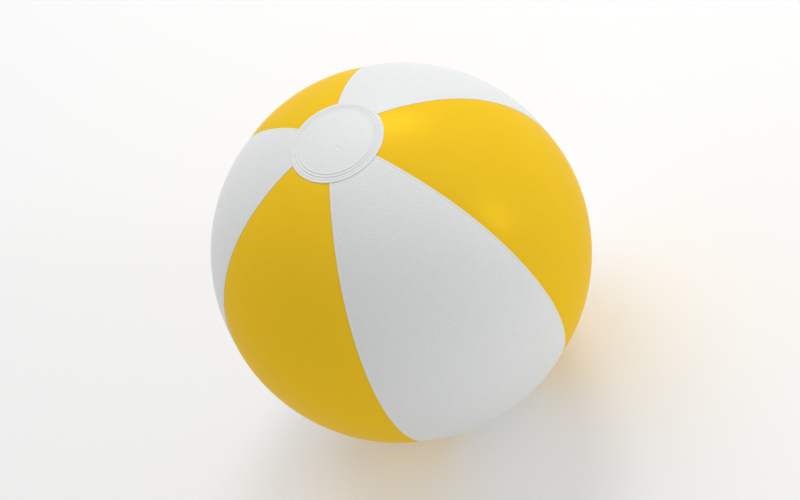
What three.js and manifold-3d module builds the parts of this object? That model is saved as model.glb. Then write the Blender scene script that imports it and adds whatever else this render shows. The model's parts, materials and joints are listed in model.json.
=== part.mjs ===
// Inflatable beach ball: six film gores lapped and welded to each other, a round cap over the gore
// tips at each pole, and a push-in inflation valve with a tethered stopper in one white gore.
// Millimetres, +Z up. The ball stands on its bottom cap, with the origin at the middle of the flat
// patch that its weight presses into that cap, and +Z runs through both poles.
import * as THREE from 'three';
import { mergeVertices } from 'three/addons/utils/BufferGeometryUtils.js';
import Module from 'manifold-3d';

const wasm = await Module();
wasm.setup();

// The ball
const BALL_RADIUS = 130; // outside of the white film
const FILM = 0.25; // thickness of the PVC film
const WELD_GAP = 0.3; // kept between two films that are welded together on the real ball
const LAP = 4; // width of a yellow gore's margin that lies under its white neighbour
const TIP_HOLE_RADIUS = 12; // hole that the cut gore tips leave at each pole, under the cap
const CAP_RADIUS = 32; // from the pole to the cap's edge, along the film
const REST_PATCH_RADIUS = 15; // flat patch under the ball's weight

// The valve, whose axis is a radius of the ball
const VALVE_AZIMUTH = 150; // degrees from +X towards +Y
const VALVE_LATITUDE = -20; // degrees
const FILM_HOLE_RADIUS = 9; // hole in the film, around the sunken diaphragm
const FLANGE_WIDTH = 5.5; // welded ring inside the film
const FLANGE_THICKNESS = 0.6;
const DIAPHRAGM_DEPTH = 6; // how far the funnel sinks from the flange to the stem
const DIAPHRAGM_WALL = 0.8; // measured along the valve's axis
const STEM_BORE_RADIUS = 3;
const STEM_WALL = 1.5;
const STEM_LENGTH = 16; // from the top of the lip to the inner end
const LIP_WIDTH = 1; // how far the lip stands out from the stem
const LIP_HEIGHT = 1.1; // top of the lip above the film, with the stem pushed in
const LIP_THICKNESS = 1;
const PLUG_HEAD_THICKNESS = 1.6;
const PLUG_CHAMFER = 0.4;
const PLUG_STUB_LENGTH = 4.4;
const TETHER_REACH = 3.1; // from the lip's rim to the fold that the stopper swings about
const TETHER_WIDTH = 3.6;
const TETHER_THICKNESS = 0.8;
const FLAP_THICKNESS = 0.6;
const FLAP_SEAT = 0.8; // how far the flap covers the stem's end around the bore
const PART_GAP = 0.3; // between separate pieces of the valve
const SLIDING_GAP = 0.35; // around the stem in the diaphragm and around the stub in the bore

// Facets
const ROW_STEP = THREE.MathUtils.degToRad(7.5); // of latitude
const GORE_COLUMNS = 8; // across a gore, not counting its laps
const CAP_RINGS = 4;
const CAP_SEGMENTS = 36;
const VALVE_SEGMENTS = 24;

// Films from the outside in: the caps lie on the white gores, whose edges lie on the yellow ones.
const CAP_OUTER_RADIUS = BALL_RADIUS + WELD_GAP + FILM;
const YELLOW_RADIUS = BALL_RADIUS - FILM - WELD_GAP;
const CENTRE_HEIGHT = Math.sqrt(CAP_OUTER_RADIUS ** 2 - REST_PATCH_RADIUS ** 2);
const HALF_GORE = Math.PI / 6;
const REST_ANGLE = Math.asin(REST_PATCH_RADIUS / CAP_OUTER_RADIUS);
const TIP_ANGLE = Math.asin(TIP_HOLE_RADIUS / BALL_RADIUS);

const STEM_RADIUS = STEM_BORE_RADIUS + STEM_WALL;
const LIP_RADIUS = STEM_RADIUS + LIP_WIDTH;
const FOLD_X = LIP_RADIUS + TETHER_REACH;
const PLUG_BASE = LIP_HEIGHT + PART_GAP;
const STEM_END = LIP_HEIGHT - STEM_LENGTH;

const yellowFilm = new THREE.MeshStandardMaterial({ color: '#dcb62c', roughness: 0.42 });
const whiteFilm = new THREE.MeshStandardMaterial({ color: '#eeeeec', roughness: 0.5 });
const clearVinyl = new THREE.MeshStandardMaterial({ color: '#dfe3e2', roughness: 0.35 });

function part(name, geometry, material) {
  const mesh = new THREE.Mesh(geometry, material.clone());
  mesh.name = name;
  return mesh;
}

function latheAboutZ(profile, segments) {
  const points = profile.map(([radius, height]) => new THREE.Vector2(radius, height));
  return new THREE.LatheGeometry(points, segments).rotateX(Math.PI / 2);
}

function toSolid(geometry) {
  const bare = geometry.clone();
  bare.deleteAttribute('normal');
  bare.deleteAttribute('uv');
  const merged = mergeVertices(bare, 1e-4);
  return new wasm.Manifold(new wasm.Mesh({
    numProp: 3,
    vertProperties: new Float32Array(merged.attributes.position.array),
    triVerts: new Uint32Array(merged.index.array),
  }));
}

function subtract(geometry, tool) {
  const { vertProperties, triVerts } = toSolid(geometry).subtract(toSolid(tool)).getMesh();
  const result = new THREE.BufferGeometry();
  result.setAttribute('position', new THREE.BufferAttribute(vertProperties, 3));
  result.setIndex(new THREE.BufferAttribute(triVerts, 1));
  return result;
}

// A point of a film of the given radius, at an angle from the bottom pole. The sphere is pressed
// flat where it rests, and films that lie inside the cap keep their distance from it there.
function filmPoint(radius, angle) {
  const restLevel = CAP_OUTER_RADIUS - radius - CENTRE_HEIGHT;
  return { reach: radius * Math.sin(angle), height: Math.max(-radius * Math.cos(angle), restLevel) };
}

// Angles from the bottom pole of the rows that every gore shares, from tip to tip.
function goreRows() {
  const rows = [REST_ANGLE];
  for (let angle = 2 * ROW_STEP; angle < Math.PI - 1.5 * ROW_STEP; angle += ROW_STEP) {
    rows.push(angle);
  }
  return [TIP_ANGLE, ...rows.filter((angle) => angle > TIP_ANGLE), Math.PI - TIP_ANGLE];
}

// Longitudes of a gore's columns. A white gore ends at the seam. A yellow one goes a lap further,
// under the white, and both have a column along each side of the lap so that their facets agree.
function goreColumns(angle, tucked) {
  const lap = LAP / (BALL_RADIUS * Math.sin(angle));
  const inner = tucked ? HALF_GORE : HALF_GORE - lap;
  const columns = [-inner - lap];
  for (let i = 0; i <= GORE_COLUMNS; i += 1) {
    columns.push(inner * (2 * i / GORE_COLUMNS - 1));
  }
  return [...columns, inner + lap];
}

// A gore is a flat strip of film with square edges, bent round the ball and centred on +X.
function goreGeometry(outerRadius, tucked) {
  const rows = goreRows();
  const columnCount = GORE_COLUMNS + 2;
  const geometry = new THREE.BoxGeometry(1, 1, 1, columnCount, rows.length - 1, 1);
  const position = geometry.attributes.position;
  for (let i = 0; i < position.count; i += 1) {
    const angle = rows[Math.round((position.getY(i) + 0.5) * (rows.length - 1))];
    const column = Math.round((position.getX(i) + 0.5) * columnCount);
    const longitude = goreColumns(angle, tucked)[column];
    const radius = position.getZ(i) > 0 ? outerRadius : outerRadius - FILM;
    const { reach, height } = filmPoint(radius, angle);
    position.setXYZ(i, reach * Math.cos(longitude), reach * Math.sin(longitude), height);
  }
  return geometry;
}

// A round cap of film over a pole. The bottom one's first ring is the rim of the flat patch.
function capGeometry(atBottom) {
  const edgeAngle = CAP_RADIUS / BALL_RADIUS;
  const firstRing = atBottom ? REST_ANGLE : edgeAngle / (CAP_RINGS + 1);
  const angles = [0];
  for (let i = 0; i <= CAP_RINGS; i += 1) {
    angles.push(THREE.MathUtils.lerp(firstRing, edgeAngle, i / CAP_RINGS));
  }
  const arc = (radius) => angles.map((angle) => {
    const { reach, height } = filmPoint(radius, atBottom ? angle : Math.PI - angle);
    return [reach, height];
  });
  const outside = arc(CAP_OUTER_RADIUS);
  const inside = arc(CAP_OUTER_RADIUS - FILM);
  const [lower, upper] = atBottom ? [outside, inside] : [inside, outside];
  return latheAboutZ([...lower, ...upper.reverse()], CAP_SEGMENTS);
}

// Turns a group so that its +Z is the valve's axis and its +X points down the ball's side.
function aimAtValve(group) {
  group.rotation.order = 'ZYX';
  group.rotation.z = THREE.MathUtils.degToRad(VALVE_AZIMUTH);
  group.rotation.y = THREE.MathUtils.degToRad(90 - VALVE_LATITUDE);
  return group;
}

function filmHoleTool() {
  const depth = BALL_RADIUS / 2;
  const tool = new THREE.CylinderGeometry(FILM_HOLE_RADIUS, FILM_HOLE_RADIUS, depth, VALVE_SEGMENTS);
  tool.rotateX(Math.PI / 2).translate(0, 0, BALL_RADIUS);
  const aim = aimAtValve(new THREE.Group());
  aim.updateMatrix();
  return tool.applyMatrix4(aim.matrix);
}

function makeGores() {
  const places = ['right_back', 'back', 'left_back', 'left', 'front', 'right'];
  return places.map((place, i) => {
    const azimuth = HALF_GORE + i * 2 * HALF_GORE;
    const isWhite = i % 2 === 0;
    const radius = isWhite ? BALL_RADIUS : YELLOW_RADIUS;
    const gore = goreGeometry(radius, !isWhite).rotateZ(azimuth);
    const holdsValve = Math.abs(azimuth - THREE.MathUtils.degToRad(VALVE_AZIMUTH)) < HALF_GORE;
    const geometry = holdsValve ? subtract(gore, filmHoleTool()) : gore;
    const name = `gore_${isWhite ? 'white' : 'yellow'}_${place}`;
    return part(name, geometry, isWhite ? whiteFilm : yellowFilm);
  });
}

// Top of the flange below the film's outside at the valve's axis: it clears the film's curve over
// the flange's width, the film itself and the dip of the film's flat facets.
function flangeTop() {
  const rim = FILM_HOLE_RADIUS + PART_GAP + FLANGE_WIDTH;
  const curve = BALL_RADIUS - Math.sqrt(BALL_RADIUS ** 2 - rim ** 2);
  const columnStep = 2 * HALF_GORE / GORE_COLUMNS;
  const dip = BALL_RADIUS * (2 - Math.cos(ROW_STEP / 2) - Math.cos(columnStep / 2));
  return -(curve + FILM + dip + WELD_GAP);
}

function valveFlange() {
  const inner = FILM_HOLE_RADIUS + PART_GAP;
  const outer = inner + FLANGE_WIDTH;
  const top = flangeTop();
  const bottom = top - FLANGE_THICKNESS;
  const profile = [[inner, bottom], [outer, bottom], [outer, top], [inner, top], [inner, bottom]];
  return part('valve_flange', latheAboutZ(profile, VALVE_SEGMENTS), clearVinyl);
}

// The thin funnel that lets the stem be pushed in flush or pulled out.
function valveDiaphragm() {
  const wide = FILM_HOLE_RADIUS;
  const narrow = STEM_RADIUS + SLIDING_GAP;
  const top = flangeTop();
  const sunk = top - DIAPHRAGM_DEPTH;
  const profile = [
    [narrow, sunk - DIAPHRAGM_WALL],
    [wide, top - DIAPHRAGM_WALL],
    [wide, top],
    [narrow, sunk],
    [narrow, sunk - DIAPHRAGM_WALL],
  ];
  return part('valve_diaphragm', latheAboutZ(profile, VALVE_SEGMENTS), clearVinyl);
}

function valveStem() {
  const lipBase = LIP_HEIGHT - LIP_THICKNESS;
  const profile = [
    [STEM_BORE_RADIUS, STEM_END],
    [STEM_RADIUS, STEM_END],
    [STEM_RADIUS, lipBase],
    [LIP_RADIUS, lipBase],
    [LIP_RADIUS, LIP_HEIGHT],
    [STEM_BORE_RADIUS, LIP_HEIGHT],
    [STEM_BORE_RADIUS, STEM_END],
  ];
  return part('valve_stem', latheAboutZ(profile, VALVE_SEGMENTS), clearVinyl);
}

// Disc that the air's pressure holds against the stem's inner end.
function checkFlap() {
  const radius = STEM_BORE_RADIUS + FLAP_SEAT;
  const flap = new THREE.CylinderGeometry(radius, radius, FLAP_THICKNESS, VALVE_SEGMENTS);
  flap.rotateX(Math.PI / 2).translate(0, 0, STEM_END - PART_GAP - FLAP_THICKNESS / 2);
  return part('check_flap', flap, clearVinyl);
}

// Stopper: a round head over the lip and a stub in the bore. The stub tapers to the radius that
// still leaves the bore when the stopper swings about the tether's fold, level with the head's base.
function stopperPlug() {
  const reach = FOLD_X + STEM_BORE_RADIUS - SLIDING_GAP;
  const tipRadius = Math.sqrt(reach ** 2 - PLUG_STUB_LENGTH ** 2) - FOLD_X;
  const top = PLUG_BASE + PLUG_HEAD_THICKNESS;
  const profile = [
    [0, PLUG_BASE - PLUG_STUB_LENGTH],
    [tipRadius, PLUG_BASE - PLUG_STUB_LENGTH],
    [STEM_BORE_RADIUS - SLIDING_GAP, PLUG_BASE],
    [LIP_RADIUS, PLUG_BASE],
    [LIP_RADIUS, top - PLUG_CHAMFER],
    [LIP_RADIUS - PLUG_CHAMFER, top],
    [0, top],
  ];
  return part('stopper_plug', latheAboutZ(profile, VALVE_SEGMENTS), clearVinyl);
}

// Strap from the lip's rim out to a round fold and back to the head's rim. Its two legs are level
// with the middles of the lip and the head, and the fold's centre is the stopper's hinge line.
function tetherStrap() {
  const start = LIP_RADIUS + PART_GAP;
  const lower = LIP_HEIGHT - LIP_THICKNESS / 2;
  const upper = PLUG_BASE + PLUG_HEAD_THICKNESS / 2;
  const middle = (lower + upper) / 2;
  const outside = (upper - lower + TETHER_THICKNESS) / 2;
  const inside = outside - TETHER_THICKNESS;
  const outline = new THREE.Shape();
  outline.moveTo(start, middle - outside);
  outline.lineTo(FOLD_X, middle - outside);
  outline.absarc(FOLD_X, middle, outside, -Math.PI / 2, Math.PI / 2, false);
  outline.lineTo(start, middle + outside);
  outline.lineTo(start, middle + inside);
  outline.lineTo(FOLD_X, middle + inside);
  outline.absarc(FOLD_X, middle, inside, Math.PI / 2, -Math.PI / 2, true);
  outline.lineTo(start, middle - inside);
  const settings = { depth: TETHER_WIDTH, bevelEnabled: false, curveSegments: 6 };
  const strap = new THREE.ExtrudeGeometry(outline, settings);
  strap.rotateX(Math.PI / 2).translate(0, TETHER_WIDTH / 2, 0);
  return part('tether_strap', strap, clearVinyl);
}

function makeValve() {
  const seat = new THREE.Group();
  seat.position.z = BALL_RADIUS;
  seat.add(valveFlange(), valveDiaphragm(), valveStem(), checkFlap(), stopperPlug(), tetherStrap());
  return aimAtValve(new THREE.Group()).add(seat);
}

const ball = new THREE.Group();
ball.position.z = CENTRE_HEIGHT;
ball.add(...makeGores());
ball.add(part('cap_top', capGeometry(false), whiteFilm));
ball.add(part('cap_bottom', capGeometry(true), whiteFilm));
ball.add(makeValve());

const beachBall = new THREE.Group();
beachBall.add(ball);

export default beachBall;
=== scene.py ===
"""Inflatable beach ball: six lap-welded film gores, two welded caps and a push-in valve.

The film pieces are thin solids whose outside is the ball's radius as a function of direction.
The valve's pieces are profiles carried round its axis. Everything is in metres, in the frame of
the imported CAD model: +Z runs up through both caps and the ball rests on the plane z = 0.
"""
import json
import math

import bpy
import numpy as np
from bpy.props import FloatProperty, FloatVectorProperty, PointerProperty
from mathutils import Matrix, Vector


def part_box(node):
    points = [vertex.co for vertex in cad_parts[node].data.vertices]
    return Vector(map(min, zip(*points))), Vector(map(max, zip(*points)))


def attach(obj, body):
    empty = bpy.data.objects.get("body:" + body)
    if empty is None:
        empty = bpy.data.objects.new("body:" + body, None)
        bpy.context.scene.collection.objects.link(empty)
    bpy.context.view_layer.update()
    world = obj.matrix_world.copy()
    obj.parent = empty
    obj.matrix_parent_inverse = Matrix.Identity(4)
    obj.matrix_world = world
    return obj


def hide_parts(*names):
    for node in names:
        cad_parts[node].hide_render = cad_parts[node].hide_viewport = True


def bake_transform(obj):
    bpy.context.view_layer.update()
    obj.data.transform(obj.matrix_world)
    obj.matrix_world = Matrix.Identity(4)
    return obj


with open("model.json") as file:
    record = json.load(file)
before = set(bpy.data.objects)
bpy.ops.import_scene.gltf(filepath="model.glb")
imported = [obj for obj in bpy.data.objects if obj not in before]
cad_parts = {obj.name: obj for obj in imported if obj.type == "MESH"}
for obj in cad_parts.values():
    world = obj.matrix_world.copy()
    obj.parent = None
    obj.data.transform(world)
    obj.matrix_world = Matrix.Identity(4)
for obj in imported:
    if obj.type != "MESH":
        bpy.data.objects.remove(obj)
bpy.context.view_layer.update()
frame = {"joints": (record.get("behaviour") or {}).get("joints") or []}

bl_info = {
    "name": "Inflatable Beach Ball",
    "version": (1, 0, 0),
    "blender": (4, 5, 0),
    "location": "3D View > Sidebar > Beach Ball",
    "description": "Builds a lap-welded film beach ball with its push-in inflation valve",
    "category": "Add Mesh",
}

MM = 0.001
JOINTS = {joint["name"]: joint for joint in frame["joints"]}

# The ball, as the CAD has it
CAP_RISE = 0.55 * MM  # the caps' outside above the white film's
BALL_RADIUS = -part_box("gore_white_front")[0].y
CAP_OUTER_RADIUS = BALL_RADIUS + CAP_RISE
CENTRE = np.array((0.0, 0.0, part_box("cap_top")[1].z - CAP_OUTER_RADIUS))
CAP_ARC = BALL_RADIUS * math.asin(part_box("cap_top")[1].x / CAP_OUTER_RADIUS)
HALF_GORE = math.pi / 6
FIRST_WHITE = -math.pi / 2  # azimuth of the middle of the front gore

# The valve's own axes: out of the ball, along the stopper's hinge line, and down the ball's side
VALVE_OUT = np.array(Vector(JOINTS["stem_slide"]["axis"]).normalized())
VALVE_SIDE = np.array(Vector(JOINTS["stopper_hinge"]["axis"]).normalized())
VALVE_DOWN = np.cross(VALVE_SIDE, VALVE_OUT)
VALVE_SEAT = CENTRE + BALL_RADIUS * VALVE_OUT
FOLD = np.array(JOINTS["stopper_hinge"]["pos_m"]) - VALVE_SEAT
FOLD_X = float(FOLD @ VALVE_DOWN)
FOLD_Z = float(FOLD @ VALVE_OUT)
FLAP_HINGE = np.array(JOINTS["flap_hinge"]["pos_m"]) - VALVE_SEAT
FLAP_HINGE_X = float(FLAP_HINGE @ VALVE_DOWN)
FLAP_HINGE_Z = float(FLAP_HINGE @ VALVE_OUT)

GORES = ("gore_white_front", "gore_yellow_right", "gore_white_right_back",
         "gore_yellow_back", "gore_white_left_back", "gore_yellow_left")
VALVE_GORE = "gore_white_left_back"


def linear(hex_colour):
    """An sRGB hex colour as linear red, green and blue."""
    channels = [int(hex_colour[i:i + 2], 16) / 255 for i in (1, 3, 5)]
    return tuple(c / 12.92 if c <= 0.04045 else ((c + 0.055) / 1.055) ** 2.4 for c in channels)


def size_property(name, description, millimetres):
    return FloatProperty(name=name, description=description, default=millimetres * MM,
                         unit="LENGTH", precision=5)


def colour_property(name, description, hex_colour):
    return FloatVectorProperty(name=name, description=description, default=linear(hex_colour),
                               subtype="COLOR", min=0, max=1)


class BeachBallFilm(bpy.types.PropertyGroup):
    thickness: size_property("Film", "Thickness of the film", 0.25)
    contact: size_property("Contact gap", "Gap drawn between two welded films", 0.02)
    lap: size_property("Lap", "Width of a yellow gore's margin under its white neighbour", 4)
    tip_hole: size_property("Tip hole", "Radius of the hole between the cut gore tips", 12)
    seam_dip: size_property("Seam dip", "How far the seams pull in from the ball's sphere", 0.9)
    seam_reach: size_property("Seam reach", "Distance over which that dip fades out", 15)
    edge_bead: size_property("Edge bead", "Height of the white film's welded edge", 0.13)
    edge_width: size_property("Edge width", "Width of the white film's welded edge", 1.3)
    weld_inset: size_property("Weld inset", "From the white film's edge to its weld line", 2.2)
    weld_depth: size_property("Weld depth", "Depth of the weld line", 0.08)
    weld_width: size_property("Weld width", "Half width of a weld line", 0.4)


class BeachBallCap(bpy.types.PropertyGroup):
    outer_groove: size_property("Outer groove", "Radius of the cap's outer weld groove", 28.6)
    inner_groove: size_property("Inner groove", "Radius of the cap's inner weld groove", 26.6)
    groove_depth: size_property("Groove depth", "Depth of both grooves", 0.3)
    groove_width: size_property("Groove width", "Half width of a groove", 0.34)
    bead_height: size_property("Bead height", "Height of the film squeezed up beside them", 0.2)
    bead_width: size_property("Bead width", "Half width of a bead", 0.42)
    edge_bead: size_property("Edge bead", "Height of the film squeezed up at the edge", 0.2)
    crease_depth: size_property("Crease depth", "Depth of the short crease near the middle", 0.2)


class BeachBallValve(bpy.types.PropertyGroup):
    hole: size_property("Film hole", "Radius of the hole in the film", 9)
    flange: size_property("Flange", "Outer radius of the welded flange inside the film", 14.8)
    flange_thickness: size_property("Flange thickness", "Thickness of the flange", 0.6)
    wall: size_property("Diaphragm wall", "Thickness of the diaphragm", 0.5)
    bore: size_property("Bore", "Radius of the stem's bore", 3)
    stem: size_property("Stem", "Outer radius of the stem", 4.5)
    stem_end: size_property("Stem depth", "Inner end of the stem below the film", 14.9)
    lip: size_property("Lip", "Radius of the stem's lip and of the stopper's head", 5.5)
    lip_top: size_property("Lip height", "Top of the lip above the film", 1.1)
    lip_thickness: size_property("Lip thickness", "Thickness of the lip", 1)
    head: size_property("Head", "Thickness of the stopper's head", 1.6)
    stub: size_property("Stub", "Length of the stopper's stub", 4.4)
    stub_tip: size_property("Stub tip", "Radius of the stub's tip", 1.82)
    play: size_property("Play", "Gap around the stub and under the head", 0.3)
    thumb_tab: size_property("Thumb tab", "How far the tab stands out from the head", 1.8)
    strap_width: size_property("Strap width", "Width of the tether", 3.6)
    strap: size_property("Strap", "Thickness of the tether", 0.8)
    flap: size_property("Flap", "Radius of the check flap", 3.8)
    flap_thickness: size_property("Flap thickness", "Thickness of the check flap", 0.6)


class BeachBallColours(bpy.types.PropertyGroup):
    yellow: colour_property("Yellow", "The yellow gores", "#F7CA2A")
    white: colour_property("White", "The white gores and the caps", "#E9EBEA")
    vinyl: colour_property("Valve", "The valve's soft moulding", "#E6E9E6")
    floor: colour_property("Floor", "The floor under the ball", "#F2F2F2")


class BeachBall(bpy.types.PropertyGroup):
    film: PointerProperty(type=BeachBallFilm)
    cap: PointerProperty(type=BeachBallCap)
    valve: PointerProperty(type=BeachBallValve)
    colours: PointerProperty(type=BeachBallColours)


# --- The ball's shape -----------------------------------------------------------------------

VALLEY_START = 0.9 * CAP_ARC  # from the pole to where the seams start to pull in
VALLEY_FULL = 2.2 * CAP_ARC
WELD_RINGS = (0.25, 0.7)  # the valve's two weld lines, as shares of the flange's width


def smooth(low, high, x):
    """A rise from 0 at low to 1 at high that starts and ends level."""
    t = np.clip((x - low) / (high - low), 0, 1)
    return t * t * (3 - 2 * t)


def ridge(x, middle, half_width):
    """A bell of height 1 around middle, which is exp(-1) high half_width away."""
    return np.exp(-((x - middle) / half_width) ** 2)


def direction_of(angle, azimuth):
    """Unit vectors at an angle from the bottom pole and an azimuth from +X."""
    angle, azimuth = np.broadcast_arrays(angle, azimuth)
    return np.stack((np.sin(angle) * np.cos(azimuth),
                     np.sin(angle) * np.sin(azimuth),
                     -np.cos(angle)), axis=-1)


def seam_distance(direction):
    """Distance along the film to the nearest seam, positive on white film and negative on yellow.

    It is the azimuth left to the seam times the circle's radius there.
    """
    reach = np.hypot(direction[..., 0], direction[..., 1])
    azimuth = np.arctan2(direction[..., 1], direction[..., 0]) - FIRST_WHITE
    period = 4 * HALF_GORE
    from_white = np.abs((azimuth + period / 2) % period - period / 2)
    return (HALF_GORE - from_white) * BALL_RADIUS * reach


def pole_distance(direction):
    """Distance along the film to the nearer pole."""
    reach = np.hypot(direction[..., 0], direction[..., 1])
    return BALL_RADIUS * np.arctan2(reach, np.abs(direction[..., 2]))


def valve_distance(direction):
    """Distance along the film to the valve's axis."""
    across = np.linalg.norm(np.cross(direction, VALVE_OUT), axis=-1)
    return BALL_RADIUS * np.arctan2(across, direction @ VALVE_OUT)


def film_radius(direction, ball):
    """Radius of the white film's outside, edges left out.

    It is the sphere, less a valley that fades exponentially on both sides of each seam, less a
    bell-shaped weld line along each white edge and two around the valve, plus the small rise
    that brings the film up to the caps.
    """
    film, valve = ball.film, ball.valve
    seam = seam_distance(direction)
    pole = pole_distance(direction)
    around = valve_distance(direction)
    away = smooth(VALLEY_START, VALLEY_FULL, pole)
    valley = film.seam_dip * np.exp(-np.abs(seam) / film.seam_reach) * away
    weld = film.weld_depth * ridge(seam, film.weld_inset, film.weld_width)
    for share in WELD_RINGS:
        radius = valve.hole + share * (valve.flange - valve.hole)
        weld = weld + film.weld_depth * ridge(around, radius, film.weld_width)
    rise = CAP_RISE - film.thickness - film.contact
    return BALL_RADIUS - valley - weld + rise * (1 - smooth(CAP_ARC, 2 * CAP_ARC, pole))


def rounded_edge(distance, radius):
    """Drop of a surface that ends in a quarter circle, at a distance in from its edge."""
    inside = np.clip(1 - distance / radius, 0, 1)
    return radius * (1 - np.sqrt(1 - inside ** 2))


def on_ball(direction, radius):
    """Points at a radius along directions, pressed level where the ball rests.

    The height over the level is replaced by (h + sqrt(h^2 + k^2)) / 2, which is h well above it
    and close to 0 below it. Films inside the cap keep their distance from it.
    """
    softness = 0.3 * MM
    points = direction * radius[..., None]
    level = CAP_OUTER_RADIUS - radius - CENTRE[2]
    over = points[..., 2] - level
    points[..., 2] = level + (over + np.sqrt(over ** 2 + softness ** 2)) / 2
    return points + CENTRE


# --- Meshes -----------------------------------------------------------------------------------

FILM_SHARP_DEGREES = 35  # an edge that turns more than this is drawn sharp
MOULDING_SHARP_DEGREES = 50


def quads_between(index, close_rows=False, close_columns=False):
    """Quads between the neighbours in a grid of point numbers, seen from the side they face.

    Columns run to the right and rows run up. The last row or column may be joined to the first.
    """
    index = np.pad(index, ((0, int(close_rows)), (0, int(close_columns))), mode="wrap")
    corners = (index[:-1, :-1], index[:-1, 1:], index[1:, 1:], index[1:, :-1])
    return np.stack(corners, axis=-1).reshape(-1, 4)


def grid_quads(rows, columns, closed=False):
    """Quads of a grid of points that are numbered row by row."""
    index = np.arange(rows * columns).reshape(rows, columns)
    return quads_between(index, close_columns=closed)


def directed_edges(faces):
    return np.stack((faces, np.roll(faces, -1, axis=1)), axis=-1).reshape(-1, 2)


def thick_sheet(outside, inside, face_sets):
    """A closed thin solid between two copies of a sheet.

    The outside keeps its faces, the inside has them turned round, and each edge that only one
    face uses gets a wall quad from the one copy to the other.
    """
    count = len(outside)
    edges = np.concatenate([directed_edges(faces) for faces in face_sets])
    key = edges.min(axis=1) * count + edges.max(axis=1)
    _, first, uses = np.unique(key, return_index=True, return_counts=True)
    a, b = edges[first[uses == 1]].T
    wall = np.stack((b, a, a + count, b + count), axis=-1)
    faces = [wall]
    for group in face_sets:
        faces += [group, group[:, ::-1] + count]
    return np.concatenate((outside, inside)), faces


def new_piece(name, points, face_sets, material, sharp_degrees=FILM_SHARP_DEGREES):
    """A smooth-shaded object at the origin with those points and faces."""
    points = points.reshape(-1, 3)
    faces = [face for group in face_sets for face in np.asarray(group).tolist()]
    mesh = bpy.data.meshes.new(name)
    mesh.from_pydata(points.tolist(), [], faces)
    mesh.validate()
    mesh.materials.append(material)
    mesh.polygons.foreach_set("use_smooth", np.ones(len(mesh.polygons), bool))
    mesh.set_sharp_from_angle(angle=math.radians(sharp_degrees))
    mesh.update()
    piece = bpy.data.objects.new(name, mesh)
    bpy.context.scene.collection.objects.link(piece)
    return piece


def stands_for(piece, node, body):
    """The piece takes a CAD node's place and moves with its body."""
    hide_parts(node)
    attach(piece, body)


# --- Gores ------------------------------------------------------------------------------------

GORE_ROWS = 221
EDGE_COLUMNS = 23  # columns of points in the band along each edge
MIDDLE_COLUMNS = 42  # columns between the two bands
EDGE_BAND = 5 * MM  # width of a band, a yellow gore's lap left out
WHITE_CROWDING = 1.5  # power by which a white gore's columns crowd towards its beaded edge
HOLE_BLOCK = 2.4  # half side of the block left out around the valve, in radii of its hole
HOLE_RINGS = 40
GORE_ROUNDING = 0.15 * MM  # at a white gore's edge
SUNK_REACH = 4 * MM  # a yellow gore rises to the sphere over about this distance


def gore_rows(ball):
    """Angles from the bottom pole, from tip to tip, closer than a degree together."""
    tip = math.asin(ball.film.tip_hole / BALL_RADIUS)
    return np.linspace(tip, math.pi - tip, GORE_ROWS)


def gore_directions(ball, azimuth, is_white):
    """The grid of directions of a gore: rows from tip to tip, columns from edge to edge.

    The columns near each edge keep their distance from it in millimetres at every row, and the
    others share out what is left, so that weld lines run parallel to the edge.
    """
    angle = gore_rows(ball)[:, None]
    half = HALF_GORE * BALL_RADIUS * np.sin(angle)
    margin = 0 if is_white else ball.film.lap
    share = np.linspace(0, 1, EDGE_COLUMNS)
    edge = (EDGE_BAND + margin) * share ** (WHITE_CROWDING if is_white else 1) - margin
    middle = np.linspace(-1, 1, MIDDLE_COLUMNS + 2)[1:-1] * (half - EDGE_BAND)
    left = edge - half
    across = np.hstack((left, middle, -left[:, ::-1]))
    return direction_of(angle, azimuth + across / (BALL_RADIUS * np.sin(angle)))


def cut_valve_hole(directions, ball):
    """Points and quads of a gore's grid with a round hole at the valve.

    A block of cells around the valve is left out. Rings of quads take its place, which run from
    its outline to the hole: each point moves straight towards the valve's axis, ring by ring.
    """
    rows, columns = directions.shape[:2]
    quads = grid_quads(rows, columns)
    flat = directions.reshape(-1, 3)
    block = HOLE_BLOCK * ball.valve.hole
    near = np.abs(flat @ VALVE_DOWN) < block / BALL_RADIUS
    near &= np.abs(flat @ VALVE_SIDE) < block / BALL_RADIUS
    near &= flat @ VALVE_OUT > 0
    inside = np.argwhere(near.reshape(rows, columns))
    (low_row, low_column), (high_row, high_column) = inside.min(axis=0), inside.max(axis=0)
    cell = np.arange(len(quads))
    cell_row, cell_column = cell // (columns - 1), cell % (columns - 1)
    kept = (cell_row < low_row) | (cell_row >= high_row)
    kept |= (cell_column < low_column) | (cell_column >= high_column)
    index = np.arange(rows * columns).reshape(rows, columns)
    outline = np.concatenate((index[low_row, low_column:high_column],
                              index[low_row:high_row, high_column],
                              index[high_row, high_column:low_column:-1],
                              index[high_row:low_row:-1, low_column]))
    rim = flat[outline]
    ray = rim - (rim @ VALVE_OUT)[:, None] * VALVE_OUT
    start = np.arcsin(np.linalg.norm(ray, axis=1)) * BALL_RADIUS
    ray /= np.linalg.norm(ray, axis=1)[:, None]
    share = (np.arange(1, HOLE_RINGS + 1) / HOLE_RINGS)[:, None]
    arc = (start + (ball.valve.hole - start) * share) / BALL_RADIUS
    patch = np.cos(arc)[..., None] * VALVE_OUT + np.sin(arc)[..., None] * ray
    added = len(flat) + np.arange(HOLE_RINGS * len(outline)).reshape(HOLE_RINGS, -1)
    ring_quads = quads_between(np.vstack((outline, added)), close_columns=True)
    points = np.concatenate((flat, patch.reshape(-1, 3)))
    faces = np.concatenate((quads[kept], ring_quads))
    used, faces = np.unique(faces, return_inverse=True)
    return points[used], faces.reshape(-1, 4)


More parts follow.
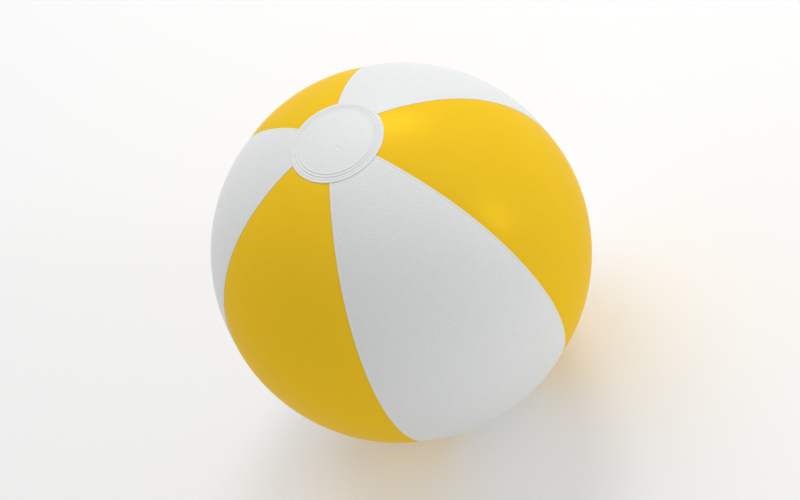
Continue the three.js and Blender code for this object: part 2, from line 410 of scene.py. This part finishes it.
def make_gore(name, azimuth, ball, material):
    """A gore: the film's radius along a grid of directions, and the same less the thickness.

    A white gore's edge carries a low rounded bead. A yellow gore lies one film lower at the seam
    and under its white neighbour, and rises to the sphere away from it.
    """
    film = ball.film
    is_white = "white" in name
    directions = gore_directions(ball, azimuth, is_white)
    if name == VALVE_GORE:
        directions, quads = cut_valve_hole(directions, ball)
    else:
        quads = grid_quads(*directions.shape[:2])
        directions = directions.reshape(-1, 3)
    radius = film_radius(directions, ball)
    seam = seam_distance(directions)
    if is_white:
        bead = film.edge_bead * ridge(seam, film.edge_width / 2, film.edge_width / 2)
        outside = radius + bead - rounded_edge(np.maximum(seam, 0), GORE_ROUNDING)
        inside = radius - film.thickness
    else:
        sunk = (film.thickness + film.contact) * np.exp(-np.maximum(-seam, 0) / SUNK_REACH)
        outside = radius - sunk
        inside = outside - film.thickness
    points, faces = thick_sheet(on_ball(directions, outside), on_ball(directions, inside), [quads])
    gore = new_piece(name + "_film", points, faces, material)
    stands_for(gore, name, "ball")


# --- Caps -------------------------------------------------------------------------------------

CREASE_MIDDLE = (-1.2 * MM, -7.7 * MM)  # seen from above, from the cap's middle
CREASE_TURN = math.radians(-68)
CREASE_HALF_LENGTH = 3.6 * MM
CREASE_HALF_WIDTH = 0.45 * MM
CAP_SHIFT = np.array((1.0, -2.8, 0)) * MM  # the top cap is welded on a little off the pole
CAP_BEAD_INSET = 0.7 * MM  # from the cap's edge to the middle of its bead
CAP_BEAD_HALF_WIDTH = 0.6 * MM
CAP_ROUNDING = 0.2 * MM
CAP_SEGMENTS = 288
PLAIN_RINGS = 68  # rings of points between the middle and the welds
WELD_MARGIN = 2.5 * MM  # how far inside the inner groove the close rings start
CLOSE_RINGS = 46
EDGE_STRIP = 0.3 * MM  # the outermost rings crowd towards the edge over this width
EDGE_RINGS = 5


def cap_relief(arc, azimuth, ball, has_crease):
    """Height of the cap's outside over its plain radius.

    Bells down for the two weld grooves, bells up for the film squeezed up on both sides of each,
    a quarter circle at the edge and, on the top cap, a short straight crease.
    """
    cap = ball.cap
    grooves = (cap.inner_groove, cap.outer_groove)
    pitch = cap.outer_groove - cap.inner_groove
    beads = (cap.inner_groove - pitch / 2, cap.inner_groove + pitch / 2,
             cap.outer_groove + pitch / 2)
    relief = cap.edge_bead * ridge(arc, CAP_ARC - CAP_BEAD_INSET, CAP_BEAD_HALF_WIDTH)
    relief = relief - rounded_edge(CAP_ARC - arc, CAP_ROUNDING)
    for groove in grooves:
        relief = relief - cap.groove_depth * ridge(arc, groove, cap.groove_width)
    for bead in beads:
        relief = relief + cap.bead_height * ridge(arc, bead, cap.bead_width)
    if has_crease:
        x = arc * np.cos(azimuth) - CREASE_MIDDLE[0]
        y = arc * np.sin(azimuth) - CREASE_MIDDLE[1]
        along = x * math.cos(CREASE_TURN) + y * math.sin(CREASE_TURN)
        across = y * math.cos(CREASE_TURN) - x * math.sin(CREASE_TURN)
        fold = ridge(along, 0, CREASE_HALF_LENGTH) ** 2 * ridge(across, 0, CREASE_HALF_WIDTH)
        relief = relief - cap.crease_depth * fold
    return relief


def make_cap(name, ball, material):
    """A cap: rings round a pole, close together where the weld grooves are."""
    at_bottom = name == "cap_bottom"
    weld_start = ball.cap.inner_groove - WELD_MARGIN
    arc = np.concatenate((np.linspace(0, weld_start, PLAIN_RINGS + 2)[1:-1],
                          np.linspace(weld_start, CAP_ARC - EDGE_STRIP, CLOSE_RINGS),
                          CAP_ARC - EDGE_STRIP * np.linspace(0.8, 0, EDGE_RINGS) ** 2))[:, None]
    azimuth = np.arange(CAP_SEGMENTS) * 2 * math.pi / CAP_SEGMENTS
    arc, azimuth = np.broadcast_arrays(np.vstack(([[0.0]], arc)), azimuth)
    relief = cap_relief(arc, azimuth, ball, not at_bottom)
    angle = arc / BALL_RADIUS if at_bottom else math.pi - arc / BALL_RADIUS
    directions = direction_of(angle, azimuth)
    if not at_bottom:
        directions = directions + CAP_SHIFT / BALL_RADIUS
        directions /= np.linalg.norm(directions, axis=-1)[..., None]
    outside = on_ball(directions, CAP_OUTER_RADIUS + relief)
    inside = on_ball(directions, np.full(arc.shape, CAP_OUTER_RADIUS - ball.film.thickness))
    ring = np.arange(CAP_SEGMENTS)
    fan = np.stack((np.zeros(CAP_SEGMENTS, int), 1 + np.roll(ring, -1), 1 + ring), axis=-1)
    faces = [1 + grid_quads(len(arc) - 1, CAP_SEGMENTS, closed=True), fan]
    if not at_bottom:
        faces = [group[:, ::-1] for group in faces]

    def with_one_middle(points):
        return np.concatenate((points[0, :1], points[1:].reshape(-1, 3)))

    points, faces = thick_sheet(with_one_middle(outside), with_one_middle(inside), faces)
    cap = new_piece(name + "_film", points, faces, material)
    stands_for(cap, name, "ball")


# --- Valve ------------------------------------------------------------------------------------

TURN_SEGMENTS = 96
FLANGE_RINGS = 24
OVERLAP = 0.1 * MM  # how far the flange and the diaphragm run into what they join
RIM_HEIGHT = -1.05 * MM  # the diaphragm's two ends, from the film's outside
FOOT_HEIGHT = -8.3 * MM
DIAPHRAGM_STEPS = 41
STRAP_SECTION = 32  # points round a strap's section
STRAP_STEPS = 9
STRAP_POWERS = (0.4, 0.7)  # of the cosine across a strap and the sine through it
BEAD_SEGMENTS = 48
STOPPER_SEGMENTS = 128
TAB_HALF_ANGLE = 0.42  # of the stopper's thumb tab, in radians


def valve_point(x, y, z):
    """Points in the valve's own axes: down the ball's side, along the hinge line and outwards."""
    return (VALVE_SEAT + x[..., None] * VALVE_DOWN + y[..., None] * VALVE_SIDE
            + z[..., None] * VALVE_OUT)


def rounded(corners, steps=5):
    """A profile with its corners replaced by arcs.

    Each corner is (radius, height, rounding). The arc touches both sides at an equal distance
    from the corner and is drawn as a quadratic curve between those two points.
    """
    places = np.array([corner[:2] for corner in corners], float)
    before, after = np.roll(places, 1, axis=0), np.roll(places, -1, axis=0)
    profile = []
    for (start, corner, end), (_, _, rounding) in zip(zip(before, places, after), corners):
        if rounding == 0:
            profile.append(corner[None])
            continue
        a = corner + (start - corner) * rounding / np.linalg.norm(start - corner)
        b = corner + (end - corner) * rounding / np.linalg.norm(end - corner)
        t = np.linspace(0, 1, steps + 1)[:, None]
        profile.append(a * (1 - t) ** 2 + 2 * corner * t * (1 - t) + b * t ** 2)
    return np.concatenate(profile)


def revolve(profile, segments=TURN_SEGMENTS, swell=None):
    """A closed solid: a profile of (radius, height) carried round the valve's axis.

    The profile runs from the axis at the bottom, out and up and back to the axis, or closes on
    itself. swell(angle, radius, height) gives the radius at each angle where it isn't round.
    """
    on_axis = profile[0, 0] == 0
    ring = profile[1:-1] if on_axis else profile
    angle = np.arange(segments) * 2 * math.pi / segments
    radius = np.repeat(ring[:, :1], segments, axis=1)
    height = np.repeat(ring[:, 1:], segments, axis=1)
    if swell:
        radius = swell(angle, radius, height)
    points = valve_point(radius * np.cos(angle), radius * np.sin(angle), height).reshape(-1, 3)
    if not on_axis:
        index = np.arange(len(points)).reshape(len(ring), segments)
        return points, [quads_between(index, close_rows=True, close_columns=True)]
    ends = valve_point(np.zeros(2), np.zeros(2), profile[[0, -1], 1])
    around = np.arange(segments)
    after = np.roll(around, -1)
    first, last = len(points), len(points) + 1
    top = (len(ring) - 1) * segments
    fans = np.concatenate((
        np.stack((np.full(segments, first), after, around), axis=-1),
        np.stack((np.full(segments, last), top + around, top + after), axis=-1)))
    return np.concatenate((points, ends)), [grid_quads(len(ring), segments, closed=True), fans]


def make_flange(ball, material):
    """The flange: a ring of the film's own curve, one film and a contact gap further in."""
    film, valve = ball.film, ball.valve
    arc = np.linspace(valve.hole - OVERLAP, valve.flange, FLANGE_RINGS)[:, None] / BALL_RADIUS
    turn = np.arange(TURN_SEGMENTS) * 2 * math.pi / TURN_SEGMENTS
    ray = np.cos(turn)[:, None] * VALVE_DOWN + np.sin(turn)[:, None] * VALVE_SIDE
    directions = np.cos(arc)[..., None] * VALVE_OUT + np.sin(arc)[..., None] * ray
    quads = grid_quads(FLANGE_RINGS, TURN_SEGMENTS, closed=True)[:, ::-1]
    directions = directions.reshape(-1, 3)
    outside = film_radius(directions, ball) - film.thickness - film.contact
    points, faces = thick_sheet(on_ball(directions, outside),
                                on_ball(directions, outside - valve.flange_thickness), [quads])
    flange = new_piece("valve_flange_moulding", points, faces, material)
    stands_for(flange, "valve_flange", "ball")


def make_diaphragm(ball, material):
    """The diaphragm: a curve from the flange's inner rim down to the stem, given a wall.

    The curve is a cubic one whose handles make a steep cup with a round bottom. It follows the
    ball at the flange and the stem at its foot.
    """
    valve = ball.valve
    rim = np.array((valve.hole + OVERLAP, RIM_HEIGHT))
    foot = np.array((valve.stem - OVERLAP, FOOT_HEIGHT))
    handles = (np.array((7.7, -1.0)) * MM, np.array((7.9, -8.6)) * MM)
    t = np.linspace(0, 1, DIAPHRAGM_STEPS)[:, None]
    curve = (rim * (1 - t) ** 3 + 3 * handles[0] * t * (1 - t) ** 2
             + 3 * handles[1] * t ** 2 * (1 - t) + foot * t ** 3)
    slope = np.gradient(curve, axis=0)
    normal = np.stack((-slope[:, 1], slope[:, 0]), axis=-1)
    normal *= valve.wall / 2 / np.linalg.norm(normal, axis=1)[:, None]
    profile = np.concatenate((curve - normal, (curve + normal)[::-1]))
    points, faces = revolve(profile)
    diaphragm = new_piece("valve_diaphragm_moulding", points, faces, material,
                          MOULDING_SHARP_DEGREES)
    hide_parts("valve_diaphragm")
    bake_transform(diaphragm)


def make_stem(ball, material):
    """The stem: a tube whose top turns out into a lip, all corners rounded."""
    valve = ball.valve
    under = valve.lip_top - valve.lip_thickness
    profile = rounded((
        (valve.bore, -valve.stem_end, 0.25 * MM), (valve.stem, -valve.stem_end, 0.4 * MM),
        (valve.stem, under, 0.35 * MM), (valve.lip, under, 0.3 * MM),
        (valve.lip, valve.lip_top, 0.4 * MM), (valve.bore, valve.lip_top, 0.4 * MM)))
    points, faces = revolve(profile)
    stem = new_piece("valve_stem_moulding", points, faces, material, MOULDING_SHARP_DEGREES)
    stands_for(stem, "valve_stem", "stem")


def make_flap(ball, material):
    """The check flap: a round disc with rounded rims under the stem's inner end."""
    valve = ball.valve
    top = -valve.stem_end - valve.play
    bottom = top - valve.flap_thickness
    profile = rounded(((0, bottom, 0), (valve.flap, bottom, 0.2 * MM),
                       (valve.flap, top, 0.2 * MM), (0, top, 0)))
    points, faces = revolve(profile)
    flap = new_piece("check_flap_moulding", points, faces, material, MOULDING_SHARP_DEGREES)
    stands_for(flap, "check_flap", "flap")


def make_stopper(ball, material):
    """The stopper: a tapered stub, a head with a dished top, a gate mark and a thumb tab.

    The tab is the head's rim, which swells on the side away from the tether as a bell of the
    angle round the axis.
    """
    valve = ball.valve
    base = valve.lip_top + valve.play
    top = base + valve.head
    tip = base - valve.stub
    dish = top - 0.45 * MM
    profile = rounded((
        (0, tip, 0), (valve.stub_tip, tip, 0.35 * MM),
        (valve.bore - 0.4 * MM, base, 0.15 * MM), (valve.lip, base, 0.3 * MM),
        (valve.lip, top, 0.4 * MM), (4.2 * MM, top, 0.3 * MM), (3.7 * MM, dish, 0.3 * MM),
        (0.8 * MM, dish, 0.1 * MM), (0.7 * MM, dish + 0.2 * MM, 0.1 * MM),
        (0, dish + 0.2 * MM, 0)))

    def thumb_tab(angle, radius, height):
        at_rim = smooth(valve.lip - 0.8 * MM, valve.lip, radius)
        away = np.abs(angle - math.pi)
        return radius + valve.thumb_tab * at_rim * np.exp(-(away / TAB_HALF_ANGLE) ** 4)

    points, faces = revolve(profile, segments=STOPPER_SEGMENTS, swell=thumb_tab)
    stopper = new_piece("stopper_plug_moulding", points, faces, material, MOULDING_SHARP_DEGREES)
    stands_for(stopper, "stopper_plug", "stopper")


def carry_strap(x, z, width, thickness):
    """A closed solid: a flat section with round edges carried along a straight path.

    The path runs from (x[0], z[0]) to (x[1], z[1]) in the plane across the hinge line. The
    section is a superellipse: powers of the cosine and the sine, so its sides are nearly flat.
    """
    ends = np.stack((x, z), axis=-1)
    heading = (ends[1] - ends[0]) / np.linalg.norm(ends[1] - ends[0])
    steps = ends[0] + np.linspace(0, 1, STRAP_STEPS)[:, None] * (ends[1] - ends[0])
    corner = np.arange(STRAP_SECTION) * 2 * math.pi / STRAP_SECTION
    flat, round_off = STRAP_POWERS
    across = np.abs(np.cos(corner)) ** flat * np.sign(np.cos(corner)) * width / 2
    through = np.abs(np.sin(corner)) ** round_off * np.sign(np.sin(corner)) * thickness / 2
    px = steps[:, :1] + heading[1] * through
    pz = steps[:, 1:] - heading[0] * through
    points = valve_point(px, np.broadcast_to(across, px.shape), pz)
    sides = grid_quads(STRAP_STEPS, STRAP_SECTION, closed=True)[:, ::-1]
    first = np.arange(STRAP_SECTION)[None]
    last = first[:, ::-1] + (STRAP_STEPS - 1) * STRAP_SECTION
    return points, [sides, first, last]


def hinge_bead(x, z, radius, width):
    """A closed solid: a bar with rounded ends along the hinge line through (x, z)."""
    end = 0.25 * MM
    profile = rounded(((0, -width / 2, 0), (radius, -width / 2, end), (radius, width / 2, end),
                       (0, width / 2, 0)))
    points, faces = revolve(profile, segments=BEAD_SEGMENTS)
    local = points - VALVE_SEAT
    a, b, c = local @ VALVE_DOWN, local @ VALVE_SIDE, local @ VALVE_OUT
    return valve_point(x + b, c, z + a), faces


def make_tether(ball, material):
    """The tether: a leg on the stem, a leg on the stopper and a bead that they fold about."""
    valve = ball.valve
    start = valve.lip - 0.4 * MM
    for name, body, height in (("tether_stem_leg", "stem", FOLD_Z - valve.strap),
                               ("tether_stopper_leg", "stopper", FOLD_Z + valve.strap)):
        points, faces = carry_strap((start, FOLD_X), (height, height), valve.strap_width,
                                    valve.strap)
        leg = new_piece(name, points, faces, material, MOULDING_SHARP_DEGREES)
        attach(leg, body)
    points, faces = hinge_bead(FOLD_X, FOLD_Z, 1.5 * valve.strap, valve.strap_width)
    bead = new_piece("tether_bead", points, faces, material, MOULDING_SHARP_DEGREES)
    stands_for(bead, "tether_strap", "stem")


def make_flap_hinge(ball, material):
    """The check flap's hinge: a lug down from the stem's wall that ends in a bead."""
    valve = ball.valve
    thickness = 2 * (-FLAP_HINGE_X - valve.flap)
    width = 3 * MM
    points, faces = carry_strap((FLAP_HINGE_X, FLAP_HINGE_X),
                                (0.4 * MM - valve.stem_end, FLAP_HINGE_Z), width, thickness)
    lug = new_piece("check_flap_lug", points, faces, material, MOULDING_SHARP_DEGREES)
    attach(lug, "stem")
    points, faces = hinge_bead(FLAP_HINGE_X, FLAP_HINGE_Z, thickness / 2, width)
    bead = new_piece("check_flap_bead", points, faces, material, MOULDING_SHARP_DEGREES)
    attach(bead, "stem")


# --- Materials --------------------------------------------------------------------------------

PVC_IOR = 1.53
GRAIN_SIZE = 1.6 * MM  # of the film's grain
CLOUD_SIZE = 5 * MM  # of its uneven pigment
THINNEST_PIGMENT = 0.95
SKIN_SIZE = 0.35 * MM  # of the mouldings' spark texture
BOARD_STIPPLE = 2.5 * MM


def add_node(tree, kind, settings=None, links=None):
    """Adds a node, sets its sockets and properties and links its inputs to given outputs."""
    node = tree.nodes.new(kind)
    for key, value in (settings or {}).items():
        if isinstance(key, int) or key in node.inputs:
            node.inputs[key].default_value = value
        else:
            setattr(node, key, value)
    for key, socket in (links or {}).items():
        tree.links.new(socket, node.inputs[key])
    return node


def new_material(name):
    """An empty node material and its Principled shader, already wired to the output."""
    material = bpy.data.materials.new(name)
    material.use_nodes = True
    tree = material.node_tree
    tree.nodes.clear()
    shader = add_node(tree, "ShaderNodeBsdfPrincipled")
    add_node(tree, "ShaderNodeOutputMaterial", links={"Surface": shader.outputs["BSDF"]})
    return material, tree, shader


def film_material(name, colour, tint, roughness, clear_gloss, tinted_gloss, grain_depth_mm):
    """Calendered soft PVC film: pigmented through, pulled off a satin roller while it is warm.

    The roller leaves a fine matte grain, drawn as coarse as it needs to be to show, and the
    plasticiser gives a soft wide gloss. On strongly pigmented film most of that gloss takes the
    pigment's colour, which a trace of metallic weight gives. The pigment is a little uneven
    over millimetres.
    """
    material, tree, shader = new_material(name)
    place = add_node(tree, "ShaderNodeTexCoord").outputs["Object"]
    grain = add_node(tree, "ShaderNodeTexNoise",
                     {"Scale": 1 / GRAIN_SIZE, "Detail": 4.0, "Roughness": 0.65},
                     {"Vector": place})
    cloud = add_node(tree, "ShaderNodeTexNoise",
                     {"Scale": 1 / CLOUD_SIZE, "Detail": 2.0, "Roughness": 0.5},
                     {"Vector": place})
    thinner = tuple(THINNEST_PIGMENT * c for c in colour) + (1.0,)
    pigment = add_node(tree, "ShaderNodeMix",
                       {"data_type": "RGBA", 6: (*colour, 1.0), 7: thinner},
                       {0: cloud.outputs["Fac"]})
    gloss = add_node(tree, "ShaderNodeMapRange",
                     {"To Min": roughness - 0.06, "To Max": roughness + 0.06},
                     {"Value": grain.outputs["Fac"]})
    bump = add_node(tree, "ShaderNodeBump",
                    {"Strength": 1.0, "Distance": grain_depth_mm * MM},
                    {"Height": grain.outputs["Fac"]})
    shader.inputs["IOR"].default_value = PVC_IOR
    shader.inputs["Specular IOR Level"].default_value = clear_gloss
    shader.inputs["Metallic"].default_value = tinted_gloss
    shader.inputs["Specular Tint"].default_value = (*tint, 1.0)
    tree.links.new(pigment.outputs[2], shader.inputs["Base Color"])
    tree.links.new(gloss.outputs["Result"], shader.inputs["Roughness"])
    tree.links.new(bump.outputs["Normal"], shader.inputs["Normal"])
    return material


def moulding_material(name, colour):
    """Injection-moulded soft PVC: milky and a little see-through, so its edges look deeper.

    The mould is polished with a light spark texture, which leaves a satin skin.
    """
    material, tree, shader = new_material(name)
    place = add_node(tree, "ShaderNodeTexCoord").outputs["Object"]
    skin = add_node(tree, "ShaderNodeTexNoise",
                    {"Scale": 1 / SKIN_SIZE, "Detail": 2.0}, {"Vector": place})
    bump = add_node(tree, "ShaderNodeBump", {"Strength": 1.0, "Distance": 0.012 * MM},
                    {"Height": skin.outputs["Fac"]})
    gloss = add_node(tree, "ShaderNodeMapRange", {"To Min": 0.26, "To Max": 0.38},
                     {"Value": skin.outputs["Fac"]})
    shader.inputs["Base Color"].default_value = (*colour, 1.0)
    shader.inputs["IOR"].default_value = PVC_IOR
    shader.inputs["Subsurface Weight"].default_value = 0.35
    shader.inputs["Subsurface Radius"].default_value = (1.0, 1.0, 0.9)
    shader.inputs["Subsurface Scale"].default_value = 1.5 * MM
    tree.links.new(gloss.outputs["Result"], shader.inputs["Roughness"])
    tree.links.new(bump.outputs["Normal"], shader.inputs["Normal"])
    return material


def floor_material(name, colour):
    """Matte opal board, lit a little from behind, so that shadows on it stay pale."""
    material, tree, shader = new_material(name)
    place = add_node(tree, "ShaderNodeTexCoord").outputs["Object"]
    stipple = add_node(tree, "ShaderNodeTexNoise", {"Scale": 1 / BOARD_STIPPLE, "Detail": 2.0},
                       {"Vector": place})
    bump = add_node(tree, "ShaderNodeBump", {"Strength": 0.3, "Distance": 0.05 * MM},
                    {"Height": stipple.outputs["Fac"]})
    shader.inputs["Base Color"].default_value = (*colour, 1.0)
    shader.inputs["Roughness"].default_value = 0.75
    shader.inputs["Emission Color"].default_value = (*colour, 1.0)
    shader.inputs["Emission Strength"].default_value = 0.1
    tree.links.new(bump.outputs["Normal"], shader.inputs["Normal"])
    return material


def finish(ball, name):
    """The named finish, made once."""
    if name in bpy.data.materials:
        return bpy.data.materials[name]
    colours = ball.colours
    if name == "calendered_pvc_yellow":
        return film_material(name, tuple(colours.yellow), tuple(colours.yellow), roughness=0.37,
                             clear_gloss=0.01, tinted_gloss=0.065, grain_depth_mm=0.006)
    if name == "calendered_pvc_white":
        return film_material(name, tuple(colours.white), (1, 1, 1), roughness=0.43,
                             clear_gloss=0.3, tinted_gloss=0, grain_depth_mm=0.3)
    if name == "moulded_soft_pvc":
        return moulding_material(name, tuple(colours.vinyl))
    return floor_material(name, tuple(colours.floor))


# --- Stage ------------------------------------------------------------------------------------

CAMERA_AZIMUTH = -1.3  # the camera's angles in degrees and its lens in millimetres
CAMERA_ELEVATION = 48.9
CAMERA_ROLL = 31.1
CAMERA_DISTANCE = 10 * BALL_RADIUS
CAMERA_LENS = 85.4
CAMERA_AIM = (-0.9 * MM, 1.86 * MM)  # from the ball's middle, to the right and up
SOFTBOXES = (  # name, direction in the camera's axes, distance and size in metres, watts
    ("key", (-0.03, 0.99, 0.13), 1.8, 0.6, 7.2),
    ("side", (0.785, 0.26, 0.56), 1.8, 0.45, 4.5),
    ("fill", (-0.45, 0.85, 0.27), 1.8, 1.2, 6.6),
)
WORLD_STRENGTH = 0.6
FLOOR_REACH = 8.0  # half side of the floor in metres


def camera_axes():
    """The camera's right, up and back as unit vectors, from its azimuth, elevation and roll."""
    azimuth, elevation = math.radians(CAMERA_AZIMUTH), math.radians(CAMERA_ELEVATION)
    roll = math.radians(CAMERA_ROLL)
    back = Vector((math.sin(azimuth) * math.cos(elevation),
                   -math.cos(azimuth) * math.cos(elevation), math.sin(elevation)))
    level = Vector((math.cos(azimuth), math.sin(azimuth), 0))
    upright = back.cross(level)
    right = math.cos(roll) * level - math.sin(roll) * upright
    up = math.cos(roll) * upright + math.sin(roll) * level
    return right, up, back


def look_from(obj, place, right, up, back):
    """Puts an object at a place with its own X, Y and Z along three directions."""
    obj.matrix_world = Matrix.Translation(place) @ Matrix((right, up, back)).transposed().to_4x4()


def add_camera(scene):
    right, up, back = camera_axes()
    data = bpy.data.cameras.new("camera")
    data.sensor_width = 36
    data.lens = CAMERA_LENS
    data.clip_start, data.clip_end = 0.05, 50
    camera = bpy.data.objects.new("camera", data)
    scene.collection.objects.link(camera)
    aim = Vector(CENTRE) + right * CAMERA_AIM[0] + up * CAMERA_AIM[1]
    look_from(camera, aim + back * CAMERA_DISTANCE, right, up, back)
    scene.camera = camera


def add_softbox(scene, name, towards, distance, size, watts):
    """A round area light at a distance from the ball, in a direction given in camera axes."""
    right, up, back = camera_axes()
    out = (right * towards[0] + up * towards[1] + back * towards[2]).normalized()
    data = bpy.data.lights.new(name, "AREA")
    data.shape = "DISK"
    data.size = size
    data.energy = watts
    light = bpy.data.objects.new(name, data)
    light.rotation_mode = "QUATERNION"
    light.location = Vector(CENTRE) + out * distance
    light.rotation_quaternion = out.to_track_quat("Z", "Y")
    scene.collection.objects.link(light)


def add_floor(ball):
    corners = FLOOR_REACH * np.array(((-1, -1, 0), (1, -1, 0), (1, 1, 0), (-1, 1, 0)), float)
    floor = new_piece("floor", corners, [[(0, 1, 2, 3)]], finish(ball, "opal_board"))


def add_world(scene):
    world = bpy.data.worlds.new("studio")
    world.use_nodes = True
    sky = world.node_tree.nodes["Background"]
    sky.inputs["Color"].default_value = (1.0, 1.0, 1.0, 1.0)
    sky.inputs["Strength"].default_value = WORLD_STRENGTH
    scene.world = world


# --- Operators and panel ----------------------------------------------------------------------

class BEACHBALL_OT_gores(bpy.types.Operator):
    """Make the six film gores"""
    bl_idname = "beachball.gores"
    bl_label = "Gores"

    def execute(self, context):
        ball = context.scene.beach_ball
        for i, name in enumerate(GORES):
            finish_name = "calendered_pvc_white" if "white" in name else "calendered_pvc_yellow"
            make_gore(name, FIRST_WHITE + i * 2 * HALF_GORE, ball, finish(ball, finish_name))
        return {"FINISHED"}


class BEACHBALL_OT_caps(bpy.types.Operator):
    """Make the two caps over the gore tips"""
    bl_idname = "beachball.caps"
    bl_label = "Caps"

    def execute(self, context):
        ball = context.scene.beach_ball
        for name in ("cap_top", "cap_bottom"):
            make_cap(name, ball, finish(ball, "calendered_pvc_white"))
        return {"FINISHED"}


class BEACHBALL_OT_valve(bpy.types.Operator):
    """Make the valve's flange, diaphragm, stem and check flap"""
    bl_idname = "beachball.valve"
    bl_label = "Valve"

    def execute(self, context):
        ball = context.scene.beach_ball
        for make in (make_flange, make_diaphragm, make_stem, make_flap, make_flap_hinge):
            make(ball, finish(ball, "moulded_soft_pvc"))
        return {"FINISHED"}


class BEACHBALL_OT_stopper(bpy.types.Operator):
    """Make the stopper and the tether that holds it"""
    bl_idname = "beachball.stopper"
    bl_label = "Stopper"

    def execute(self, context):
        ball = context.scene.beach_ball
        for make in (make_stopper, make_tether):
            make(ball, finish(ball, "moulded_soft_pvc"))
        return {"FINISHED"}


class BEACHBALL_OT_stage(bpy.types.Operator):
    """Make the floor, the lights and the camera"""
    bl_idname = "beachball.stage"
    bl_label = "Stage"

    def execute(self, context):
        scene = context.scene
        add_camera(scene)
        add_floor(scene.beach_ball)
        add_world(scene)
        for softbox in SOFTBOXES:
            add_softbox(scene, *softbox)
        scene.view_settings.view_transform = "Standard"
        return {"FINISHED"}


OPERATORS = (BEACHBALL_OT_gores, BEACHBALL_OT_caps, BEACHBALL_OT_valve, BEACHBALL_OT_stopper,
             BEACHBALL_OT_stage)


class BEACHBALL_PT_panel(bpy.types.Panel):
    """The ball's sizes, colours and pieces"""
    bl_idname = "BEACHBALL_PT_panel"
    bl_label = "Beach Ball"
    bl_space_type = "VIEW_3D"
    bl_region_type = "UI"
    bl_category = "Beach Ball"

    def draw(self, context):
        ball = context.scene.beach_ball
        for group in (ball.film, ball.cap, ball.valve, ball.colours):
            column = self.layout.column(align=True)
            for name in group.__annotations__:
                column.prop(group, name)
        for operator in OPERATORS:
            self.layout.operator(operator.bl_idname)


CLASSES = (BeachBallFilm, BeachBallCap, BeachBallValve, BeachBallColours, BeachBall,
           *OPERATORS, BEACHBALL_PT_panel)


def register():
    for cls in CLASSES:
        bpy.utils.register_class(cls)
    bpy.types.Scene.beach_ball = PointerProperty(type=BeachBall)


def unregister():
    del bpy.types.Scene.beach_ball
    for cls in reversed(CLASSES):
        bpy.utils.unregister_class(cls)


def main():
    register()
    for make in (bpy.ops.beachball.gores, bpy.ops.beachball.caps, bpy.ops.beachball.valve,
                 bpy.ops.beachball.stopper, bpy.ops.beachball.stage):
        make()


if __name__ == "__main__":
    main()
